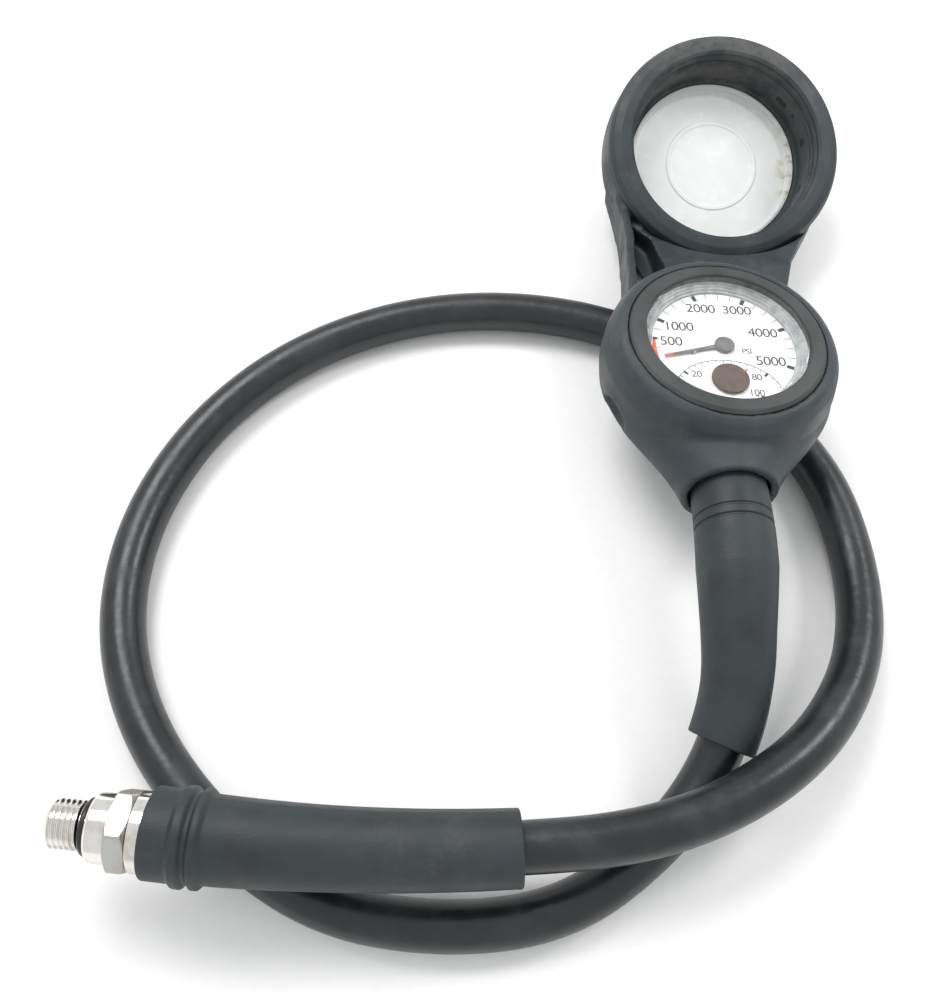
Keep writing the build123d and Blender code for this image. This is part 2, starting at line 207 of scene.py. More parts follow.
def rounded(corners, segments=5):
    """A closed outline whose corners, given as (x, y, radius), are rounded with arcs."""
    outline = []
    for i, (x, y, radius) in enumerate(corners):
        here = Vector((x, y))
        if not radius:
            outline.append(here)
            continue
        back = Vector(corners[i - 1][:2]) - here
        on = Vector(corners[(i + 1) % len(corners)][:2]) - here
        half = back.angle(on) / 2
        run = min(radius / math.tan(half), 0.49 * back.length, 0.49 * on.length)
        start, end = here + back.normalized() * run, here + on.normalized() * run
        for k in range(segments + 1):
            t = k / segments
            outline.append((1 - t) ** 2 * start + 2 * t * (1 - t) * here + t ** 2 * end)
    return outline


def divided(outline, step):
    """The same closed outline with no run longer than step."""
    points = []
    for a, b in zip(outline, [*outline[1:], outline[0]]):
        parts = max(1, math.ceil((b - a).length / step))
        points += [a.lerp(b, k / parts) for k in range(parts)]
    return points


def ring_faces(rows, steps, closed=True):
    """Faces between rings of vertices that lie one after the other."""
    faces = []
    for i in range(rows if closed else rows - 1):
        low, high = i * steps, (i + 1) % rows * steps
        for k in range(steps):
            n = (k + 1) % steps
            faces.append((low + k, low + n, high + n, high + k))
    return faces


def turned(outline, steps=128, shape=None):
    """Vertices and faces of a closed outline of (radius, height) points turned about Z.

    shape(radius, height, angle) may change the radius on the way round."""
    vertices = []
    for r, z in outline:
        for k in range(steps):
            angle = TURN * k / steps
            reach = shape(r, z, angle) if shape else r
            vertices.append((reach * math.cos(angle), reach * math.sin(angle), z))
    return vertices, ring_faces(len(outline), steps)


def disc_outline(outline):
    """Keeps an outline that touches the axis a hair off it, so its pole closes when doubles merge."""
    return [Vector((max(r, 1e-5), z)) for r, z in outline]


class Route:
    """A line through row-frame points, with steady cross directions at any distance along it."""

    def __init__(self, points):
        self.points = [Vector(p) for p in points]
        self.reach = [0.0]
        for a, b in zip(self.points, self.points[1:]):
            self.reach.append(self.reach[-1] + (b - a).length)
        tangents = [
            (self.points[min(i + 1, len(points) - 1)] - self.points[max(i - 1, 0)]).normalized()
            for i in range(len(points))]
        side = tangents[0].cross(Vector((0, 0, 1))).normalized()
        self.sides = []
        for tangent in tangents:
            side = (side - tangent * side.dot(tangent)).normalized()
            self.sides.append((side.copy(), tangent.cross(side)))

    def at(self, distance):
        """Place, side and rise directions at a distance in metres."""
        i = 0
        while i < len(self.reach) - 2 and self.reach[i + 1] < distance:
            i += 1
        t = (distance - self.reach[i]) / (self.reach[i + 1] - self.reach[i])
        (side_a, rise_a), (side_b, rise_b) = self.sides[i], self.sides[i + 1]
        clipped = min(max(t, 0), 1)
        return (self.points[i].lerp(self.points[i + 1], t), side_a.lerp(side_b, clipped),
                rise_a.lerp(rise_b, clipped))


def along(route, outline, steps=96, shape=None):
    """Vertices and faces of a closed outline of (distance, radius) points, in mm, along a route."""
    vertices = []
    for distance, r in outline:
        centre, side, rise = route.at(distance * MM)
        for k in range(steps):
            angle = TURN * k / steps
            reach = (shape(distance, r, angle) if shape else r) * MM
            vertices.append(centre + (side * math.cos(angle) + rise * math.sin(angle)) * reach)
    return vertices, ring_faces(len(outline), steps)


def evaluated(obj):
    """A plain mesh of an object with its modifiers applied; the object is removed."""
    bpy.context.view_layer.update()
    graph = bpy.context.evaluated_depsgraph_get()
    mesh = bpy.data.meshes.new_from_object(obj.evaluated_get(graph), depsgraph=graph)
    bpy.data.objects.remove(obj)
    return mesh


def moulded(node, name, material, cutters=(), rounding=6):
    """A rubber moulding from a copy of a CAD node: cut, remeshed finely and softened at its edges."""
    mesh = frame["nodes"][node].data.copy()
    with editing(mesh) as shell:
        bmesh.ops.remove_doubles(shell, verts=shell.verts, dist=1e-6)
    rough = link(name + "_rough", mesh)
    for cutter in cutters:
        cut = rough.modifiers.new("cut", "BOOLEAN")
        cut.operation, cut.object, cut.solver = "DIFFERENCE", cutter, "EXACT"
    grid = rough.modifiers.new("grid", "REMESH")
    grid.mode, grid.voxel_size = "VOXEL", bpy.context.scene.console_rubber.voxel
    soften = rough.modifiers.new("soften", "SMOOTH")
    soften.factor, soften.iterations = 0.5, rounding
    result = evaluated(rough)
    for cutter in cutters:
        bpy.data.objects.remove(cutter)
    finish_mesh(result, material, sharp=180)
    return link(name, result)


def settle(obj, body, slot, *nodes):
    """Rides the piece on its body, names its material slot and the CAD nodes that it stands for."""
    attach(obj, body)
    if nodes:
        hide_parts(*nodes)
    return obj


# ---- shader node groups ---------------------------------------------------------------------
SOCKETS = {int: "NodeSocketInt", float: "NodeSocketFloat", tuple: "NodeSocketVector",
           type(None): "NodeSocketMaterial"}


def add_inputs(tree, inputs):
    """Names a tree's inputs, as (label, default); a default of None takes a material."""
    for label, default in inputs:
        kind = SOCKETS[type(default)]
        socket = tree.interface.new_socket(label, in_out="INPUT", socket_type=kind)
        if default is not None:
            socket.default_value = default


def shader_group(name, inputs, outputs):
    """A shader node group with named inputs, and number outputs."""
    group = bpy.data.node_groups.new(name, "ShaderNodeTree")
    add_inputs(group, inputs)
    for label in outputs:
        group.interface.new_socket(label, in_out="OUTPUT", socket_type="NodeSocketFloat")
    return group, group.nodes.new("NodeGroupInput"), group.nodes.new("NodeGroupOutput")


def add(tree, kind, settings=(), links=(), values=()):
    """Adds a node, sets its settings and values, and links its inputs."""
    node = tree.nodes.new(kind)
    for key, value in settings:
        setattr(node, key, value)
    for key, value in values:
        node.inputs[key].default_value = value
    for key, source in links:
        tree.links.new(source, node.inputs[key])
    return node


def feed(tree, sockets, terms):
    """Fills sockets in turn, each from a number or from another socket."""
    for socket, term in zip(sockets, terms):
        if isinstance(term, (int, float)):
            socket.default_value = term
        else:
            tree.links.new(term, socket)


def calc(tree, operation, *terms):
    """A math node on sockets and numbers; gives its output."""
    node = add(tree, "ShaderNodeMath", [("operation", operation)])
    feed(tree, node.inputs, terms)
    return node.outputs[0]


def split_xyz(tree, where):
    return add(tree, "ShaderNodeSeparateXYZ", [], [("Vector", where)]).outputs


def ranged(tree, value, low, high, to_low=0.0, to_high=1.0):
    node = add(tree, "ShaderNodeMapRange", [("interpolation_type", "SMOOTHSTEP")], [("Value", value)],
               [("From Min", low), ("From Max", high), ("To Min", to_low), ("To Max", to_high)])
    return node.outputs["Result"]


def mixed(tree, factor, a, b):
    """Mixes two colours, given as sockets or values."""
    node = add(tree, "ShaderNodeMix", [("data_type", "RGBA")], [("Factor", factor)])
    for socket, value in ((node.inputs[6], a), (node.inputs[7], b)):
        if isinstance(value, bpy.types.NodeSocket):
            tree.links.new(value, socket)
        else:
            socket.default_value = (*value, 1)
    return node.outputs[2]


def noise_at(tree, where, scale, detail=3.0, roughness=0.5):
    node = add(tree, "ShaderNodeTexNoise", [], [("Vector", where)],
               [("Detail", detail), ("Roughness", roughness)])
    feed(tree, [node.inputs["Scale"]], [scale])
    return node.outputs["Fac"]


def rubber_skin_group():
    """Fine moulded grain, broad mottling and dust that gathers in patches."""
    group, inlet, outlet = shader_group(
        "rubber_skin",
        [("Vector", (0, 0, 0)), ("Grain Scale", 2600.0), ("Mottle Scale", 90.0), ("Dust", 0.3)],
        ["Mottle", "Dust", "Height"])
    where = inlet.outputs["Vector"]
    grain = noise_at(group, where, inlet.outputs["Grain Scale"], 2.0, 0.6)
    mottle = noise_at(group, where, inlet.outputs["Mottle Scale"], 5.0, 0.6)
    patches = noise_at(group, where, 42.0, 6.0, 0.68)
    specks = noise_at(group, where, 900.0, 2.0, 0.5)
    dusty = ranged(group, patches, 0.5, 0.75)
    speckled = calc(group, "MULTIPLY", dusty, ranged(group, specks, 0.35, 0.65, 0.35, 1.0))
    group.links.new(ranged(group, mottle, 0.3, 0.7), outlet.inputs["Mottle"])
    group.links.new(calc(group, "MULTIPLY", speckled, inlet.outputs["Dust"]), outlet.inputs["Dust"])
    group.links.new(calc(group, "ADD", grain, calc(group, "MULTIPLY", mottle, 0.6)),
                    outlet.inputs["Height"])
    return group


def plated_group():
    """Faint tarnish and turning marks of bright plating."""
    group, inlet, outlet = shader_group(
        "plated_surface",
        [("Vector", (0, 0, 0)), ("Tarnish Scale", 160.0),
         ("Grit Scale", 1800.0)],
        ["Tarnish", "Grit"])
    where = inlet.outputs["Vector"]
    tarnish = noise_at(group, where, inlet.outputs["Tarnish Scale"], 5.0, 0.6)
    grit = noise_at(group, where, inlet.outputs["Grit Scale"], 2.0, 0.5)
    group.links.new(ranged(group, tarnish, 0.42, 0.72), outlet.inputs["Tarnish"])
    group.links.new(grit, outlet.inputs["Grit"])
    return group


# ---- materials ------------------------------------------------------------------------------
def new_material(name):
    """An empty node material: its tree, its Principled shader and object coordinates."""
    material = bpy.data.materials.new(name)
    material.use_nodes = True
    tree = material.node_tree
    shader = tree.nodes["Principled BSDF"]
    where = tree.nodes.new("ShaderNodeTexCoord").outputs["Object"]
    return material, tree, shader, where


def group_node(tree, name, where, **values):
    node = tree.nodes.new("ShaderNodeGroup")
    node.node_tree = bpy.data.node_groups[name]
    tree.links.new(where, node.inputs["Vector"])
    for label, value in values.items():
        node.inputs[label.replace("_", " ")].default_value = value
    return node.outputs


def bump(tree, shader, height, distance, strength=1.0):
    node = add(tree, "ShaderNodeBump", [], [("Height", height)],
               [("Distance", distance), ("Strength", strength)])
    tree.links.new(node.outputs["Normal"], shader.inputs["Normal"])


def rubber(name, base, dust=0.35, rough=(0.42, 0.62), grain=2600.0, tint=None):
    """Satin moulded rubber: mottled, finely grained and dusty in patches."""
    material, tree, shader, where = new_material(name)
    skin = group_node(tree, "rubber_skin", where, Grain_Scale=grain, Dust=dust)
    dark = tuple(c * 0.78 for c in base)
    light = tint or tuple(c * 1.28 for c in base)
    body = mixed(tree, skin["Mottle"], dark, light)
    dusted = mixed(tree, skin["Dust"], body, tuple(bpy.context.scene.console_rubber.dust))
    tree.links.new(dusted, shader.inputs["Base Color"])
    tree.links.new(ranged(tree, skin["Mottle"], 0, 1, *rough), shader.inputs["Roughness"])
    shader.inputs["Specular IOR Level"].default_value = 0.42
    bump(tree, shader, skin["Height"], 0.00009)
    return material


def dusty_rim(name, base, low, high):
    """Pocket rubber whose upper rim is worn to a dusty brown-grey, rising with Y."""
    material = rubber(name, base, dust=0.45)
    tree = material.node_tree
    shader = tree.nodes["Principled BSDF"]
    where = tree.nodes["Texture Coordinate"].outputs["Object"]
    rise = ranged(tree, split_xyz(tree, where)["Y"], low, high)
    patches = ranged(tree, noise_at(tree, where, 120.0, 6.0, 0.7), 0.38, 0.62)
    worn = calc(tree, "MULTIPLY", calc(tree, "MULTIPLY", rise, patches), 0.62)
    clean = shader.inputs["Base Color"].links[0].from_socket
    result = mixed(tree, worn, clean, tuple(bpy.context.scene.console_rubber.dust))
    tree.links.new(result, shader.inputs["Base Color"])
    return material


def hose_skin(name, base):
    """Smooth extruded rubber with faint scuffs, glossier than the mouldings."""
    material, tree, shader, where = new_material(name)
    scuffs = ranged(tree, noise_at(tree, where, 70.0, 5.0, 0.65), 0.4, 0.75)
    tone = mixed(tree, scuffs, base, tuple(c * 2.2 for c in base))
    tree.links.new(tone, shader.inputs["Base Color"])
    tree.links.new(ranged(tree, scuffs, 0, 1, 0.3, 0.46), shader.inputs["Roughness"])
    shader.inputs["Specular IOR Level"].default_value = 0.5
    ripple = noise_at(tree, where, 260.0, 3.0, 0.5)
    bump(tree, shader, ripple, 0.00012)
    return material


def plain(name, base, rough=(0.4, 0.5), metallic=0.0, scale=400.0, spread=0.12, depth=0.00003):
    """A finish with slight variation of tone and roughness and a fine surface."""
    material, tree, shader, where = new_material(name)
    tone = noise_at(tree, where, scale, 4.0, 0.55)
    dark = tuple(c * (1 - spread) for c in base)
    light = tuple(min(1, c * (1 + spread)) for c in base)
    tree.links.new(mixed(tree, ranged(tree, tone, 0.3, 0.7), dark, light), shader.inputs["Base Color"])
    tree.links.new(ranged(tree, tone, 0.3, 0.7, *rough), shader.inputs["Roughness"])
    shader.inputs["Metallic"].default_value = metallic
    bump(tree, shader, noise_at(tree, where, scale * 5, 2.0, 0.5), depth)
    return material


def plated(name, base, rough, tarnish=(0.42, 0.33, 0.24), grit_depth=0.000004):
    """Bright plating, browned a little in patches."""
    material, tree, shader, where = new_material(name)
    surface = group_node(tree, "plated_surface", where)
    patches = calc(tree, "MULTIPLY", surface["Tarnish"], 0.5)
    tree.links.new(mixed(tree, patches, base, tarnish), shader.inputs["Base Color"])
    tree.links.new(ranged(tree, surface["Tarnish"], 0, 1, *rough), shader.inputs["Roughness"])
    shader.inputs["Metallic"].default_value = 1.0
    bump(tree, shader, surface["Grit"], grit_depth)
    return material


def clear_lens(name):
    """Polished clear plastic: its shine is in the coat, and the lamps' light reaches the dial."""
    material, tree, shader, where = new_material(name)
    shader.inputs["Transmission Weight"].default_value = 1.0
    shader.inputs["IOR"].default_value = 1.02
    shader.inputs["Coat Weight"].default_value = 0.7
    shader.inputs["Coat Roughness"].default_value = 0.02
    smear = ranged(tree, noise_at(tree, where, 150.0, 3.0, 0.5), 0.4, 0.8, 0.0, 0.05)
    tree.links.new(smear, shader.inputs["Roughness"])
    path = tree.nodes.new("ShaderNodeLightPath")
    through = tree.nodes.new("ShaderNodeBsdfTransparent")
    mix = add(tree, "ShaderNodeMixShader", [], [("Fac", path.outputs["Is Shadow Ray"])])
    tree.links.new(shader.outputs["BSDF"], mix.inputs[1])
    tree.links.new(through.outputs["BSDF"], mix.inputs[2])
    tree.links.new(mix.outputs["Shader"], tree.nodes["Material Output"].inputs["Surface"])
    return material


def scuffed_window(name):
    """Clear plastic gone milky, with a yellowed patch by one edge."""
    material, tree, shader, where = new_material(name)
    haze = ranged(tree, noise_at(tree, where, 110.0, 5.0, 0.6), 0.3, 0.75)
    edge = ranged(tree, split_xyz(tree, where)["X"], 0.023, 0.028)
    blotches = ranged(tree, noise_at(tree, where, 230.0, 5.0, 0.7), 0.48, 0.62)
    stain = calc(tree, "MULTIPLY", calc(tree, "MULTIPLY", edge, blotches), 0.75)
    milky = mixed(tree, haze, (0.86, 0.87, 0.85), (0.93, 0.93, 0.92))
    tree.links.new(mixed(tree, stain, milky, (0.42, 0.39, 0.14)), shader.inputs["Base Color"])
    tree.links.new(ranged(tree, haze, 0, 1, 0.16, 0.3), shader.inputs["Roughness"])
    shader.inputs["Alpha"].default_value = 0.72
    return material


# ---- geometry node trees --------------------------------------------------------------------
def node_tree(name, inputs):
    """A geometry node tree with named inputs, as (label, default)."""
    tree = bpy.data.node_groups.new(name, "GeometryNodeTree")
    tree.is_modifier = True
    tree.interface.new_socket("Geometry", in_out="OUTPUT", socket_type="NodeSocketGeometry")
    add_inputs(tree, inputs)
    return tree, tree.nodes.new("NodeGroupInput").outputs, tree.nodes.new("NodeGroupOutput")


def combine(tree, x=0.0, y=0.0, z=0.0):
    node = tree.nodes.new("ShaderNodeCombineXYZ")
    feed(tree, node.inputs, (x, y, z))
    return node.outputs[0]


def close_tree(tree, outlet, geometry, material):
    """Realises the instances, sets the material and ends the tree."""
    real = add(tree, "GeometryNodeRealizeInstances", [], [("Geometry", geometry)])
    paint = add(tree, "GeometryNodeSetMaterial", [],
                [("Geometry", real.outputs[0]), ("Material", material)])
    tree.links.new(paint.outputs[0], outlet.inputs["Geometry"])


def marks_tree():
    """Bars set round an ellipse, each with its outer end on it and pointing to the middle."""
    tree, inlet, outlet = node_tree("scale_marks", [
        ("Count", 5), ("First Angle", 0.0), ("Angle Step", 0.1), ("Reach X", SCALE_RADIUS),
        ("Reach Y", SCALE_RADIUS), ("Centre X", 0.0), ("Centre Y", 0.0), ("Level", 0.0),
        ("Mark Length", 2.0), ("Mark Width", 0.25), ("Mark Height", 0.03), ("Material", None)])
    spots = add(tree, "GeometryNodeMeshLine", [], [("Count", inlet["Count"])])
    index = tree.nodes.new("GeometryNodeInputIndex").outputs[0]
    angle = calc(tree, "MULTIPLY_ADD", index, inlet["Angle Step"], inlet["First Angle"])
    sine, cosine = calc(tree, "SINE", angle), calc(tree, "COSINE", angle)
    x = calc(tree, "MULTIPLY_ADD", sine, inlet["Reach X"], inlet["Centre X"])
    y = calc(tree, "MULTIPLY_ADD", cosine, inlet["Reach Y"], inlet["Centre Y"])
    moved = add(tree, "GeometryNodeSetPosition", [],
                [("Geometry", spots.outputs[0]), ("Position", combine(tree, x, y, inlet["Level"]))])
    lean = calc(tree, "ARCTAN2", calc(tree, "MULTIPLY", sine, inlet["Reach Y"]),
                calc(tree, "MULTIPLY", cosine, inlet["Reach X"]))
    size = combine(tree, inlet["Mark Width"], inlet["Mark Length"], inlet["Mark Height"])
    bar = add(tree, "GeometryNodeMeshCube", [], [("Size", size)])
    shift = combine(tree, 0.0, calc(tree, "MULTIPLY", inlet["Mark Length"], -0.5), 0.0)
    hung = add(tree, "GeometryNodeTransform", [], [("Geometry", bar.outputs[0]), ("Translation", shift)])
    turn = combine(tree, 0.0, 0.0, calc(tree, "MULTIPLY", lean, -1.0))
    copies = add(tree, "GeometryNodeInstanceOnPoints", [],
                 [("Points", moved.outputs[0]), ("Instance", hung.outputs[0]), ("Rotation", turn)])
    close_tree(tree, outlet, copies.outputs[0], inlet["Material"])
    return tree


def thread_tree():
    """A cut thread: a sheet wrapped round the axis, its radius falling into a helical groove."""
    tree, inlet, outlet = node_tree("cut_thread", [
        ("Length", 7.7), ("Pitch", 1.27),
        ("Crest Radius", 5.56), ("Depth", 0.72),
        ("Start", 21.3), ("Material", None)])
    sheet = add(tree, "GeometryNodeMeshGrid", [], [],
                [("Size X", 1.0), ("Size Y", 1.0), ("Vertices X", 97), ("Vertices Y", 170)])
    spot = split_xyz(tree, tree.nodes.new("GeometryNodeInputPosition").outputs[0])
    share_round = calc(tree, "ADD", spot["X"], 0.5)
    share_along = calc(tree, "ADD", spot["Y"], 0.5)
    z = calc(tree, "MULTIPLY", share_along, inlet["Length"])
    turns = calc(tree, "SUBTRACT", calc(tree, "DIVIDE", z, inlet["Pitch"]), share_round)
    phase = calc(tree, "ABSOLUTE", calc(tree, "MULTIPLY_ADD", calc(tree, "FRACT", turns), 2.0, -1.0))
    flank = ranged(tree, phase, 0.08, 0.92)
    ends = calc(tree, "MINIMUM", z, calc(tree, "SUBTRACT", inlet["Length"], z))
    taper = ranged(tree, ends, 0.0, 0.9, 1.0, 0.0)
    cut = calc(tree, "MULTIPLY", calc(tree, "MAXIMUM", flank, taper), inlet["Depth"])
    r = calc(tree, "SUBTRACT", inlet["Crest Radius"], cut)
    angle = calc(tree, "MULTIPLY", share_round, TURN)
    wrapped = combine(tree, calc(tree, "MULTIPLY", r, calc(tree, "COSINE", angle)),
                      calc(tree, "MULTIPLY", r, calc(tree, "SINE", angle)),
                      calc(tree, "ADD", z, inlet["Start"]))
    moved = add(tree, "GeometryNodeSetPosition", [],
                [("Geometry", sheet.outputs[0]), ("Position", wrapped)])
    joined = add(tree, "GeometryNodeMergeByDistance", [], [("Geometry", moved.outputs[0])],
                 [("Distance", 0.001)])
    close_tree(tree, outlet, joined.outputs[0], inlet["Material"])
    return tree


def grown(name, tree, place, material, **values):
    """The plain mesh that a tree gives with these values, in its place. Sizes are in millimetres."""
    carrier = link(name + "_carrier", bpy.data.meshes.new(name))
    modifier = carrier.modifiers.new(tree.name, "NODES")
    modifier.node_group = tree
    keys = {item.name: item.identifier for item in tree.interface.items_tree if item.in_out == "INPUT"}
    for label, value in {**values, "Material": material}.items():
        modifier[keys[label.replace("_", " ")]] = value
    mesh = evaluated(carrier)
    mesh.transform(place)
    with editing(mesh) as shell:
        bmesh.ops.holes_fill(shell, edges=[e for e in shell.edges if e.is_boundary], sides=0)
    finish_mesh(mesh, material)
    return mesh


def joined(name, meshes):
    """One piece from several meshes that share their materials."""
    shell = bmesh.new()
    for mesh in meshes:
        shell.from_mesh(mesh)
    result = bpy.data.meshes.new(name)
    shell.to_mesh(result)
    shell.free()
    for material in meshes[0].materials:
        result.materials.append(material)
    result.set_sharp_from_angle(angle=math.radians(SHARP))
    return link(name, result)


# ---- operators: one for each piece or group of like pieces ----------------------------------
class CONSOLE_OT_finishes(bpy.types.Operator):
    """Gives the carried-over internal parts their finishes"""

    bl_idname = "console.finishes"
    bl_label = "Internal parts"

    def execute(self, context):
        brass = plain("turned_brass", (0.62, 0.45, 0.19), (0.28, 0.42), metallic=1.0)
        steel = plain("stainless", (0.56, 0.56, 0.55), (0.25, 0.4), metallic=1.0)
        bronze = plain("bronze_strip", (0.5, 0.33, 0.16), (0.3, 0.45), metallic=1.0)
        seal = plain("seal_rubber", (0.012, 0.012, 0.012), (0.28, 0.4), spread=0.3)
        cup = plain("cup_plastic", (0.03, 0.03, 0.032), (0.4, 0.55))
        white = plain("dial_white", tuple(context.scene.console_gauge.dial), (0.32, 0.42), spread=0.02)
        finishes = {
            brass: ("gauge_case", "gauge_back", "movement_plate", "lower_bridge", "coil_block",
                    "gauge_stem"),
            steel: ("pointer_stop", "pointer_arbor", "swivel_spool", "hose_end_barb",
                    "gauge_end_ferrule", "fitting_end_ferrule", "flow_orifice", "coupling_nut"),
            bronze: ("bourdon_coil", "thermometer_coil"),
            seal: ("blowout_plug", "lens_seal", "spool_seals", "fitting_seal"),
            cup: ("thermometer_cup",),
            white: ("dial_plate",),
        }
        for finish, nodes in finishes.items():
            for node in nodes:
                mesh = frame["nodes"][node].data
                mesh.materials.clear()
                mesh.materials.append(finish)
        return {"FINISHED"}


class CONSOLE_OT_dial_print(bpy.types.Operator):
    """Prints the pressure scale, the thermometer scale and their numerals on the dial"""

    bl_idname = "console.dial_print"
    bl_label = "Dial print"

    def execute(self, context):
        face = context.scene.console_gauge
        place = gauge_place()
        ink = plain("dial_ink", tuple(face.print_ink), (0.45, 0.6), spread=0.2)
        warning = plain("dial_red", tuple(face.warning), (0.4, 0.5))
        marks = marks_tree()
        zero, per_thousand = DIAL_ZERO, math.radians(43.3)
        flat = {"Level": 0.02, "Mark_Height": 0.03}
        fine = grown("fine_marks", marks, place, ink, Count=19, First_Angle=zero + per_thousand / 4,
                     Angle_Step=per_thousand / 4, Mark_Length=1.9, Mark_Width=0.2, **flat)
        bold = grown("bold_marks", marks, place, ink, Count=5, First_Angle=zero + per_thousand,
                     Angle_Step=per_thousand, Mark_Length=2.0, Mark_Width=1.15, Level=0.03,
                     Mark_Height=0.04)
        low = grown("low_mark", marks, place, ink, Count=1, First_Angle=zero + per_thousand / 2,
                    Angle_Step=0.0, Mark_Length=1.3, Mark_Width=0.9, Level=0.03, Mark_Height=0.04)
        centre, reach = (-0.5, -16.4), (14.6, 11.5)
        middle = {"Centre_X": centre[0], "Centre_Y": centre[1], "Reach_X": reach[0],
                  "Reach_Y": reach[1]}
        degrees = math.radians(8.6)
        fine_warm = grown("fine_degrees", marks, place, ink, Count=18, First_Angle=-degrees * 8.2,
                          Angle_Step=degrees, Mark_Length=1.2, Mark_Width=0.16, **flat, **middle)
        bold_warm = grown("bold_degrees", marks, place, ink, Count=2, First_Angle=-degrees * 6.2,
                          Angle_Step=degrees * 12, Mark_Length=1.5, Mark_Width=0.75, Level=0.03,
                          Mark_Height=0.04, **middle)
        arc = self.band("degree_arc", place, ink, centre, reach, 0.2,
                        -degrees * 8.3, degrees * 9.0)
        labels = [
            self.label(text, spot, size, place, ink) for text, spot, size in (
                ("500", (-14.4, 0.9), 4.5), ("1000", (-11.7, 6.5), 4.5), ("2000", (-4.7, 13.7), 4.5),
                ("3000", (5.5, 13.7), 4.5), ("4000", (11.6, 5.6), 4.5), ("5000", (12.2, -4.7), 4.5),
                ("PSI", (6.1, -1.5), 2.5), ("20", (-8.8, -10.4), 3.1), ("80", (7.4, -10.6), 3.1),
                ("100", (6.6, -16.0), 3.1))]
        scale = joined("dial_print", [fine, bold, low, fine_warm, bold_warm, arc, *labels])
        settle(scale, ROOT, "dial_white")
        red = self.band("low_range", place, warning, (0, 0), (SCALE_RADIUS, SCALE_RADIUS), 0.8, zero,
                        zero + per_thousand * 0.47)
        settle(joined("low_range_arc", [red]), ROOT, "dial_white")
        return {"FINISHED"}

    @staticmethod
    def band(name, place, material, centre, reach, width, first, last, steps=60):
        """A thin printed band round part of an ellipse."""
        vertices = []
        for i in range(steps + 1):
            angle = first + (last - first) * i / steps
            for inset, z in ((0, 0.01), (width, 0.01), (width, 0.04), (0, 0.04)):
                vertices.append((centre[0] + (reach[0] - inset) * math.sin(angle),
                                 centre[1] + (reach[1] - inset) * math.cos(angle), z))
        faces = ring_faces(steps + 1, 4, closed=False)
        faces += [(0, 1, 2, 3), tuple(steps * 4 + k for k in range(4))]
        return local_mesh(name, vertices, faces, place, material)

    @staticmethod
    def label(text, spot, size, place, material):
        """Numerals centred on a spot of the dial, standing a hair proud of it."""
        curve = bpy.data.curves.new("label", "FONT")
        curve.body, curve.size, curve.extrude = text, size, 0.015
        curve.align_x, curve.align_y = "CENTER", "CENTER"
        curve.space_character = 0.92
        mesh = evaluated(link("label_carrier", curve))
        mesh.transform(place @ Matrix.Translation((*spot, 0.03)))
        finish_mesh(mesh, material)
        return mesh


class CONSOLE_OT_needle(bpy.types.Operator):
    """Builds the needle with its hub cap, and the thermometer disc with its mark"""

    bl_idname = "console.needle"
    bl_label = "Needle and thermometer disc"

    def execute(self, context):
        face = context.scene.console_gauge
        place = gauge_place()
        grey = plain("needle_grey", tuple(face.needle), (0.35, 0.5), spread=0.25)
        red = plain("tip_red", tuple(face.warning), (0.4, 0.5))
        to_zero = place @ Matrix.Rotation(-DIAL_ZERO, 4, "Z")
        hub = turned(disc_outline(rounded([
            (0, 0.5, 0), (2.7, 0.5, 0.1), (2.7, 1.15, 0.3), (1.5, 1.28, 0.2), (0, 1.29, 0)])), 64)
        settle(solid("needle_hub", *hub, to_zero, grey), "pointer", "needle_grey", "pointer")
        settle(self.blade("needle_blade", 0.4, 15.0, to_zero, grey), "pointer", "needle_grey")
        settle(self.blade("needle_tip", 15.02, 17.6, to_zero, red), "pointer", "needle_grey")
        brown = plain("disc_brown", tuple(face.disc), (0.5, 0.68), scale=700.0, spread=0.3,
                      depth=0.00005)
        spot = place @ Matrix.Translation((0, -11.9, 0))
        cap = turned(disc_outline(rounded([
            (0, 0.35, 0), (5.0, 0.35, 0.1), (5.0, 1.1, 0.28), (0, 1.15, 0)])), 96)
        settle(solid("thermometer_cap", *cap, spot, brown), "thermometer", "disc_brown",
               "thermometer_disc")
        mark = grown("thermometer_mark", bpy.data.node_groups["scale_marks"], spot, red, Count=1,
                     First_Angle=math.radians(57), Reach_X=5.7, Reach_Y=5.7, Mark_Length=1.3,
                     Mark_Width=0.4, Level=0.95, Mark_Height=0.4)
        settle(joined("thermometer_mark", [mark]), "thermometer", "disc_brown")
        return {"FINISHED"}

    @staticmethod
    def blade(name, start, end, place, material):
        """A length of the tapering blade, slightly ridged along its middle."""
        def half_width(y):
            return 0.6 - 0.28 * y / 17.6
        vertices = []
        for y in (start, end):
            w = half_width(y)
            vertices += [(-w, y, 0.56), (w, y, 0.56), (w, y, 0.82), (0, y, 0.95), (-w, y, 0.82)]
        faces = [(k, (k + 1) % 5, 5 + (k + 1) % 5, 5 + k) for k in range(5)]
        faces += [tuple(range(5)), tuple(range(5, 10))]
        return solid(name, vertices, faces, place, material)


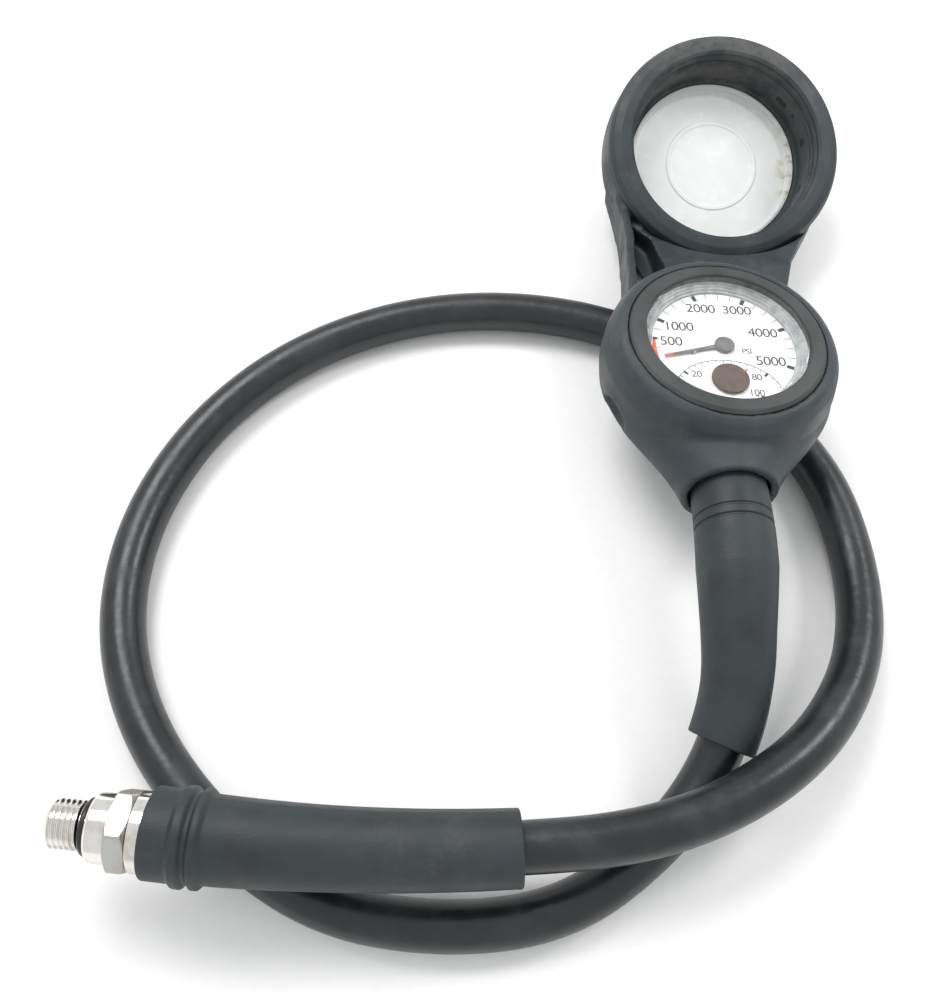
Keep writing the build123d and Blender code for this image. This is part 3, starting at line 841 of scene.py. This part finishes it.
class CONSOLE_OT_lens(bpy.types.Operator):
    """Builds the clear lens, its stepped side wall and the ring round it"""

    bl_idname = "console.lens"
    bl_label = "Lens and ring"

    def execute(self, context):
        place = gauge_place()
        pane = turned(disc_outline(rounded([
            (0, 2.7, 0), (21.75, 2.7, 0.1), (21.75, 5.0, 0.45), (0, 5.0, 0)])), 144)
        settle(solid("lens_pane", *pane, place, clear_lens("clear_plastic")), ROOT, "clear_plastic",
               "gauge_lens")
        # painted reflection: the clear lens's stepped wall is drawn as opaque glossy grey, its colour standing in
        # for the light that the clear wall reflects
        painted_reflection_grey = plain("lens_wall", tuple(context.scene.console_gauge.lens_wall), (0.1, 0.24),
                       scale=300.0, spread=0.25)
        wall = turned(rounded([
            (22.7, 0.05, 0), (22.7, 2.6, 0), (21.9, 2.6, 0.1), (21.5, 2.0, 0.12), (21.1, 1.9, 0.12),
            (20.9, 1.4, 0.12), (20.5, 1.3, 0.12), (20.3, 0.75, 0.12), (19.9, 0.65, 0.12),
            (19.6, 0.05, 0.05)]), 144)
        settle(solid("lens_wall", *wall, place, painted_reflection_grey), ROOT, "clear_plastic")
        ring = turned(rounded([
            (22.1, 1.4, 0), (22.1, 4.9, 0.3), (22.55, 5.3, 0.3), (25.7, 4.8, 0.8), (26.7, 4.0, 0.5),
            (26.72, 1.4, 0)]), 160)
        skin = rubber("ring_rubber", tuple(context.scene.console_rubber.ring), dust=0.15,
                      rough=(0.4, 0.52), grain=3200.0)
        settle(solid("lens_surround", *ring, place, skin), ROOT, "boot_rubber", "lens_ring")
        return {"FINISHED"}


class CONSOLE_OT_boot(bpy.types.Operator):
    """Moulds the gauge boot, with the finger notch at its left side"""

    bl_idname = "console.boot"
    bl_label = "Gauge boot"

    def execute(self, context):
        place = gauge_place()
        skin = rubber("boot_rubber", tuple(context.scene.console_rubber.boot), dust=0.4,
                      tint=(0.038, 0.047, 0.054))
        scoop = self.ball("notch_scoop", (-29.6, -14.6, -15.2), (4.4, 7.4, 5.6), place, skin)
        boot = moulded("gauge_boot", "boot_moulding", skin, [scoop])
        settle(boot, ROOT, "boot_rubber", "gauge_boot")
        return {"FINISHED"}

    @staticmethod
    def ball(name, centre, radii, place, material):
        """A closed ellipsoid, for cutting."""
        half = [Vector((math.sin(math.pi * i / 24), math.cos(math.pi * i / 24))) for i in range(25)]
        vertices, faces = turned(disc_outline(half), 48)
        faces = faces[:24 * 48]
        vertices = [tuple(c + r * v for c, r, v in zip(centre, radii, p)) for p in vertices]
        return solid(name, vertices, faces, place, material)


class CONSOLE_OT_pocket(bpy.types.Operator):
    """Moulds the module pocket with its saddle and arms, and turns its front ring and marks its recesses"""

    bl_idname = "console.pocket"
    bl_label = "Module pocket"

    def execute(self, context):
        place = pocket_place()
        base = tuple(context.scene.console_rubber.pocket)
        skin = dusty_rim("pocket_rubber", base, 0.045, 0.085)
        shell = moulded("module_pocket", "pocket_moulding", skin)
        settle(shell, ROOT, "pocket_rubber", "module_pocket")
        ring = turned(rounded([
            (29.25, -4.2, 0.1), (29.25, -1.9, 0.15), (29.7, -1.6, 0.15), (29.7, -0.7, 0.35),
            (30.6, -0.05, 0.4), (33.4, -0.3, 1.5), (35.8, -1.2, 1.2), (36.85, -3.0, 0.8),
            (36.7, -4.2, 0.35)]), 192)
        settle(solid("pocket_front_ring", *ring, place, skin), ROOT, "pocket_rubber", "pocket_bezel")
        # painted shadow: thin near-black bars on the bore's wall stand in for the shade inside the pocket's
        # recesses
        shade = plain("recess_shade", (0.004, 0.005, 0.006), (0.6, 0.7))
        marks = bpy.data.node_groups["scale_marks"]
        recess_shadows = [
            grown("pocket_recess", marks, place, shade, Count=1, First_Angle=math.radians(angle),
                  Reach_X=29.0, Reach_Y=29.0, Mark_Length=0.55, Mark_Width=width,
                  Mark_Height=height, Level=level)
            for angle, width, height, level in (
                (41, 4.2, 2.2, -9.5), (53, 1.3, 1.3, -9.0), (71, 1.8, 2.6, -9.5),
                (103, 2.4, 1.6, -9.5), (119, 2.4, 1.6, -9.5))]
        settle(joined("pocket_recesses", recess_shadows), ROOT, "pocket_rubber")
        return {"FINISHED"}


class CONSOLE_OT_window(bpy.types.Operator):
    """Turns the clear disc at the pocket's back"""

    bl_idname = "console.window"
    bl_label = "Pocket window"

    def execute(self, context):
        seat = -18.4
        disc = turned(disc_outline(rounded([
            (0, seat, 0), (27.25, seat, 0.2), (27.25, seat + 2.9, 0.3), (26.2, seat + 2.9, 0.3),
            (25.5, seat + 1.6, 0.5), (15.3, seat + 1.6, 0.3), (14.9, seat + 1.95, 0.3),
            (13.9, seat + 1.95, 0.3), (13.5, seat + 1.6, 0.3), (0, seat + 1.6, 0)])), 160)
        pane = solid("pocket_pane", *disc, pocket_place(), scuffed_window("window_plastic"))
        settle(pane, ROOT, "window_plastic", "pocket_window")
        return {"FINISHED"}


# the hose's route, in metres: gauge end first, fitting end last
HOSE_ROUTE = [
    (-0.00891, -0.07528, 0.02798), (-0.00891, -0.09178, 0.02981), (-0.0099, -0.1106, 0.0271),
    (-0.0102, -0.1303, 0.0182), (-0.0177, -0.1489, 0.0105), (-0.0310, -0.1643, 0.006),
    (-0.0537, -0.1800, 0.006), (-0.0827, -0.1836, 0.006), (-0.1137, -0.1786, 0.006),
    (-0.1412, -0.1596, 0.006), (-0.1622, -0.1341, 0.006), (-0.1722, -0.1041, 0.006),
    (-0.1692, -0.0721, 0.006), (-0.1537, -0.0411, 0.006), (-0.1277, -0.0171, 0.006),
    (-0.0947, -0.0036, 0.006), (-0.0597, -0.0016, 0.006), (-0.0257, -0.0106, 0.006),
    (0.0043, -0.0316, 0.006), (0.0248, -0.0586, 0.006), (0.0298, -0.0891, 0.007),
    (0.0248, -0.1181, 0.012), (0.0093, -0.1411, 0.018), (-0.0127, -0.1566, 0.0218),
    (-0.0377, -0.1653, 0.0224), (-0.0697, -0.1679, 0.0232), (-0.1017, -0.1682, 0.0243),
    (-0.1217, -0.1672, 0.0249), (-0.1417, -0.1653, 0.0256),
]


def hose_curve(name, bevel):
    """The hose's smooth line as a curve object, with a round section of radius bevel."""
    curve = bpy.data.curves.new(name, "CURVE")
    curve.dimensions, curve.resolution_u = "3D", 14
    spline = curve.splines.new("NURBS")
    spline.points.add(len(HOSE_ROUTE) - 1)
    for point, spot in zip(spline.points, HOSE_ROUTE):
        point.co = (*spot, 1)
    spline.order_u = 3
    spline.use_endpoint_u = True
    curve.bevel_depth, curve.bevel_resolution = bevel, 10
    curve.use_fill_caps = True
    return link(name, curve)


def hose_middle():
    """Points along the middle of the hose."""
    mesh = evaluated(hose_curve("hose_middle", 0.0))
    return [v.co.copy() for v in mesh.vertices]


class CONSOLE_OT_sleeves(bpy.types.Operator):
    """Builds the two bend protectors on the hose"""

    bl_idname = "console.sleeves"
    bl_label = "Bend protectors"

    def execute(self, context):
        skin = rubber("sleeve_rubber", tuple(context.scene.console_rubber.sleeve), dust=0.22,
                      rough=(0.46, 0.6), grain=2300.0)
        down = gauge_place()
        start = [down @ Vector((0, y, NECK_LEVEL)) for y in (-31.0, -32.5)]
        route = Route(start + hose_middle())
        near = [
            (0, 7.9, 0), (0, 9.9, 0.5), (15.2, 10.1, 0), (15.45, 9.75, 0.1), (15.85, 9.75, 0.1),
            (16.1, 10.15, 0.2), (17.9, 10.15, 0.2), (18.15, 9.75, 0.1), (18.55, 9.75, 0.1),
            (18.8, 10.2, 0.2), (29, 10.25, 8), (44, 9.3, 10), (58, 8.75, 10), (72.9, 8.6, 0.5),
            (72.9, 6.35, 0.3), (12, 6.35, 0), (12, 7.9, 0)]
        part = along(route, divided(rounded(near), 1.6), 96, self.parting_line)
        piece = solid("gauge_end_protector", *part, Matrix(), skin)
        settle(piece, ROOT, "sleeve_rubber", "gauge_end_sleeve")
        far = [
            (0, 9.35, 0), (0, 10.3, 0.7), (6.2, 10.25, 0.4), (7.2, 11.15, 0.6), (8.9, 11.2, 0.7),
            (9.7, 10.2, 0.4), (10.5, 10.2, 0.4), (11.3, 11.1, 0.6), (12.5, 11.1, 0.7),
            (13.6, 9.95, 0.6), (38, 9.35, 12), (62, 9.0, 12), (83.6, 8.75, 0.6), (83.6, 7.55, 0.3),
            (3.8, 7.55, 0), (3.8, 9.35, 0)]
        part = along(self.bow(), divided(rounded(far), 1.6), 96, self.parting_line)
        piece = solid("fitting_end_protector", *part, Matrix(), skin)
        settle(piece, "sliding_sleeve", "sleeve_rubber", "fitting_end_sleeve")
        return {"FINISHED"}

    @staticmethod
    def parting_line(distance, radius, angle):
        """Adds the mould's fine parting line along both sides of the outside."""
        outside, clear_of_mouth, side, ridge, spread = 8.5, 4, 0.62, 0.14, 0.05
        if radius < outside or distance < clear_of_mouth:
            return radius
        off = min(abs(math.remainder(angle - a, TURN)) for a in (side, side + math.pi))
        return radius + ridge * math.exp(-(off / spread) ** 2)

    @staticmethod
    def bow():
        """The flat arc on which the fitting-end protector sits, from the fitting to the hose."""
        joint = JOINTS["sleeve_slide"]
        centre, axis = Vector(joint["pos_m"]), Vector(joint["axis"]).normalized()
        radius, first, last = 0.480, -0.1484, -0.0647
        points = []
        for i in range(41):
            x = first + (last - first) * i / 40 - centre.x
            y = -math.sqrt(radius ** 2 - x ** 2)
            points.append(centre + Vector((x, y, -axis.x / axis.z * x)))
        return Route(points)


class CONSOLE_OT_fitting(bpy.types.Operator):
    """Turns the plated end fitting and cuts its thread"""

    bl_idname = "console.fitting"
    bl_label = "End fitting"

    def execute(self, context):
        sizes = context.scene.console_fitting
        place = fitting_place()
        bright = plated("bright_plating", tuple(sizes.plate), (0.08, 0.2))
        frosted = plated("frosted_plating", (0.52, 0.53, 0.51), (0.32, 0.5), grit_depth=0.00002)
        body = turned(rounded([
            (2.4, 3.0, 0), (6.9, 3.0, 0.2), (6.9, 5.0, 0.1), (9.0, 5.0, 0.4), (9.0, 9.6, 0.3),
            (8.4, 9.9, 0.1), (7.6, 10.0, 0), (7.6, 14.7, 0), (7.8, 14.8, 0.1), (7.8, 18.9, 0.5),
            (7.2, 19.6, 0.2), (4.75, 19.6, 0.1), (4.75, 28.7, 0.1), (4.4, 29.0, 0.2),
            (2.4, 29.0, 0.2)]), 128)
        settle(solid("fitting_body", *body, place, bright), ROOT, "plated_metal", "pressure_fitting")
        corner = sizes.flats / math.sqrt(3)
        nut_outline = divided(rounded([
            (7.0, 9.95, 0), (corner - 1.3, 9.95, 0), (corner, 10.75, 0), (corner, 13.95, 0),
            (corner - 1.3, 14.7, 0), (7.0, 14.7, 0)]), 0.28)
        nut = turned(nut_outline, 180, self.hexagon)
        settle(solid("fitting_hexagon", *nut, place, frosted), ROOT, "plated_metal")
        thread = grown("fitting_thread", thread_tree(), place, bright, Pitch=sizes.pitch,
                       Crest_Radius=sizes.thread_radius, Depth=sizes.thread_depth)
        settle(joined("fitting_thread", [thread]), ROOT, "plated_metal")
        return {"FINISHED"}

    @staticmethod
    def hexagon(radius, height, angle):
        """Keeps a turned blank inside the hexagon's flats."""
        flats = bpy.context.scene.console_fitting.flats
        turn = math.remainder(angle + HEXAGON_TURN, TURN / 6)
        return min(radius, flats / 2 / math.cos(turn))


class CONSOLE_OT_hose(bpy.types.Operator):
    """Lays the high-pressure hose, from the gauge's neck round its loop to the fitting"""

    bl_idname = "console.hose"
    bl_label = "High-pressure hose"

    def execute(self, context):
        sizes = context.scene.console_hose
        hose = hose_curve("pressure_hose", sizes.diameter / 2)
        hose.data.materials.append(hose_skin("hose_rubber", tuple(sizes.skin)))
        settle(hose, ROOT, "hose_rubber", "hose")
        return {"FINISHED"}


class CONSOLE_OT_stage(bpy.types.Operator):
    """Sets the pale table, the room light and the camera"""

    bl_idname = "console.stage"
    bl_label = "Stage"

    def execute(self, context):
        stage = context.scene.console_stage
        table = plain("table", tuple(stage.floor), (0.6, 0.7), spread=0.01, depth=0.0)
        corners = [(x, y, -0.0002) for x, y in ((-3, -3), (3, -3), (3, 3), (-3, 3))]
        mesh = bpy.data.meshes.new("table")
        mesh.from_pydata(corners, [], [(0, 1, 2, 3)])
        mesh.materials.append(table)
        link("table", mesh)
        world = bpy.data.worlds.new("room")
        world.use_nodes = True
        world.node_tree.nodes["Background"].inputs["Color"].default_value = (0.97, 0.985, 1.0, 1)
        world.node_tree.nodes["Background"].inputs["Strength"].default_value = stage.sky
        context.scene.world = world
        self.lamp("key_light", (-0.35, 0.35, 0.85), (0, -0.05, 0), 0.5, stage.key)
        self.lamp("window_light", (0.55, 0.25, 0.7), (0, -0.05, 0), 0.25, stage.key * 0.5)
        lens = bpy.data.cameras.new("camera")
        lens.lens, lens.sensor_width = stage.focal, 36.0
        lens.clip_start, lens.clip_end = 0.01, 20.0
        camera = link("camera", lens)
        camera.location = (-0.0757, -0.2021, stage.camera_height)
        camera.rotation_euler = (math.radians(27.5), 0, 0)
        context.scene.camera = camera
        context.scene.view_settings.view_transform = "Standard"
        return {"FINISHED"}

    @staticmethod
    def lamp(name, spot, target, size, power):
        light = bpy.data.lights.new(name, "AREA")
        light.shape, light.size, light.energy = "DISK", size, power
        obj = link(name, light)
        obj.location = spot
        obj.rotation_mode = "QUATERNION"
        obj.rotation_quaternion = (Vector(target) - Vector(spot)).to_track_quat("-Z", "Y")


# ---- panel and registration -----------------------------------------------------------------
OPERATORS = (
    CONSOLE_OT_finishes, CONSOLE_OT_dial_print, CONSOLE_OT_needle, CONSOLE_OT_lens,
    CONSOLE_OT_boot, CONSOLE_OT_pocket, CONSOLE_OT_window, CONSOLE_OT_sleeves,
    CONSOLE_OT_fitting, CONSOLE_OT_hose, CONSOLE_OT_stage)
PROPERTIES = {
    "console_gauge": GaugeProperties, "console_rubber": RubberProperties,
    "console_hose": HoseProperties, "console_fitting": FittingProperties,
    "console_stage": StageProperties}


class CONSOLE_PT_build(bpy.types.Panel):
    """Lists the console's pieces and their sizes and colours"""

    bl_idname = "CONSOLE_PT_build"
    bl_label = "Dive console"
    bl_space_type = "VIEW_3D"
    bl_region_type = "UI"
    bl_category = "Console"

    def draw(self, context):
        for operator in OPERATORS:
            self.layout.operator(operator.bl_idname)
        for key, group in PROPERTIES.items():
            column = self.layout.column(heading=group.__doc__)
            for name in group.__annotations__:
                column.prop(getattr(context.scene, key), name)


def register():
    for group in PROPERTIES.values():
        bpy.utils.register_class(group)
    for key, group in PROPERTIES.items():
        setattr(bpy.types.Scene, key, PointerProperty(type=group))
    for operator in OPERATORS:
        bpy.utils.register_class(operator)
    bpy.utils.register_class(CONSOLE_PT_build)


def unregister():
    bpy.utils.unregister_class(CONSOLE_PT_build)
    for operator in reversed(OPERATORS):
        bpy.utils.unregister_class(operator)
    for key, group in PROPERTIES.items():
        delattr(bpy.types.Scene, key)
        bpy.utils.unregister_class(group)


def main():
    """Builds the whole console and writes its size beside the frame's."""
    register()
    rubber_skin_group()
    plated_group()
    for operator in OPERATORS:
        group, name = operator.bl_idname.split(".")
        getattr(getattr(bpy.ops, group), name)()


if __name__ == "__main__":
    main()
